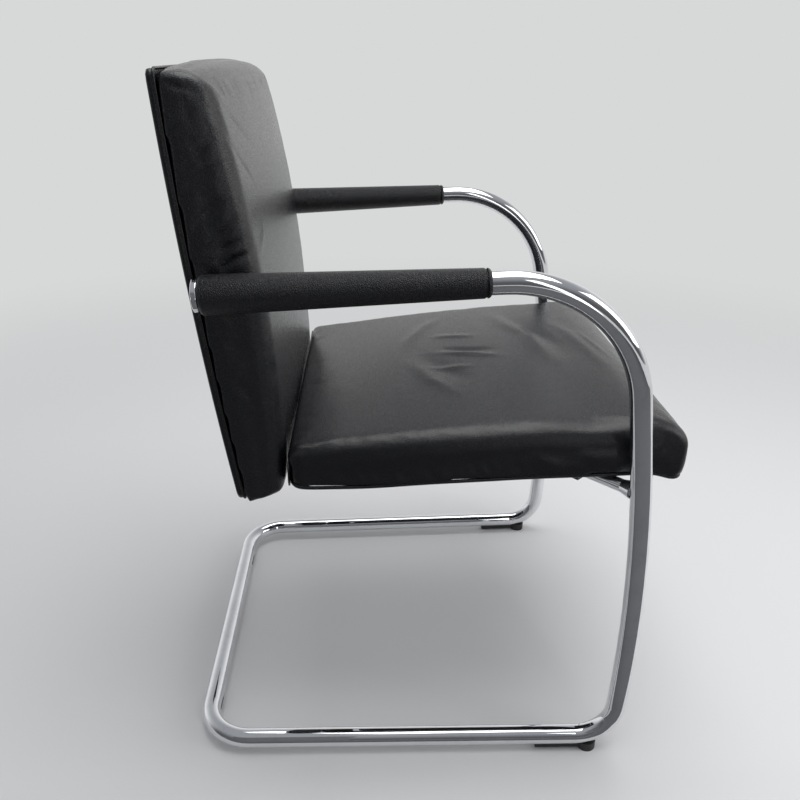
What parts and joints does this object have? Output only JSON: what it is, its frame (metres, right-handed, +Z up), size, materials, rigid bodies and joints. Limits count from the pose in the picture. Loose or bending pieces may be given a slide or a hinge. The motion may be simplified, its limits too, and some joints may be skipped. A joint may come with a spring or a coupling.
{
  "type": "cantilever lounge chair",
  "caption": "Cantilever armchair: a bent chrome tube frame carries a leather seat cushion, a leather back and padded arms.",
  "frame": {"origin": "on the floor, under the middle of the chair's bounding box", "axes": "+Z up; the chair faces -Y, so its rear rail and back are at +Y; +X is the sitter's left"},
  "size_m": [0.57, 0.614, 0.8505],
  "materials": {
    "chrome_tube": "polished",
    "leather_black": "semi-gloss, fine pebbled grain",
    "arm_leather": "semi-gloss, fine grain",
    "foam": "open-cell foam",
    "arm_foam": "firm foam",
    "plywood": "moulded beech plywood",
    "black_cloth": "non-woven cloth",
    "black_plastic": "matt",
    "zinc_steel": "zinc plated",
    "black_steel": "powder coated"
  },
  "bodies": {
    "root": {"frame_tube": "chrome_tube", "seat_bow": "chrome_tube", "bow_weld_collars": "chrome_tube", "arm_end_caps": "chrome_tube", "left_arm_core": "arm_foam", "right_arm_core": "arm_foam", "left_arm_leather": "arm_leather", "right_arm_leather": "arm_leather", "front_left_glide": "black_plastic", "front_right_glide": "black_plastic", "rear_left_glide": "black_plastic", "rear_right_glide": "black_plastic", "seat_pan": "plywood", "seat_foam": "foam", "seat_cover": "leather_black", "seat_piping": "leather_black", "seat_rear_strip": "leather_black", "seat_underside_cover": "black_cloth", "seat_t_nuts": "zinc_steel", "seat_bolts": "zinc_steel", "seat_saddles": "black_plastic", "back_board": "plywood", "back_foam": "foam", "back_cover": "leather_black", "back_panel": "plywood", "back_panel_leather": "leather_black", "panel_clips": "black_plastic", "back_brackets": "black_steel", "bracket_screws": "zinc_steel", "back_mount_bolts": "zinc_steel", "back_mount_washers": "zinc_steel", "back_mount_spacers": "zinc_steel", "tube_inserts": "zinc_steel"}
  },
  "joints": []
}
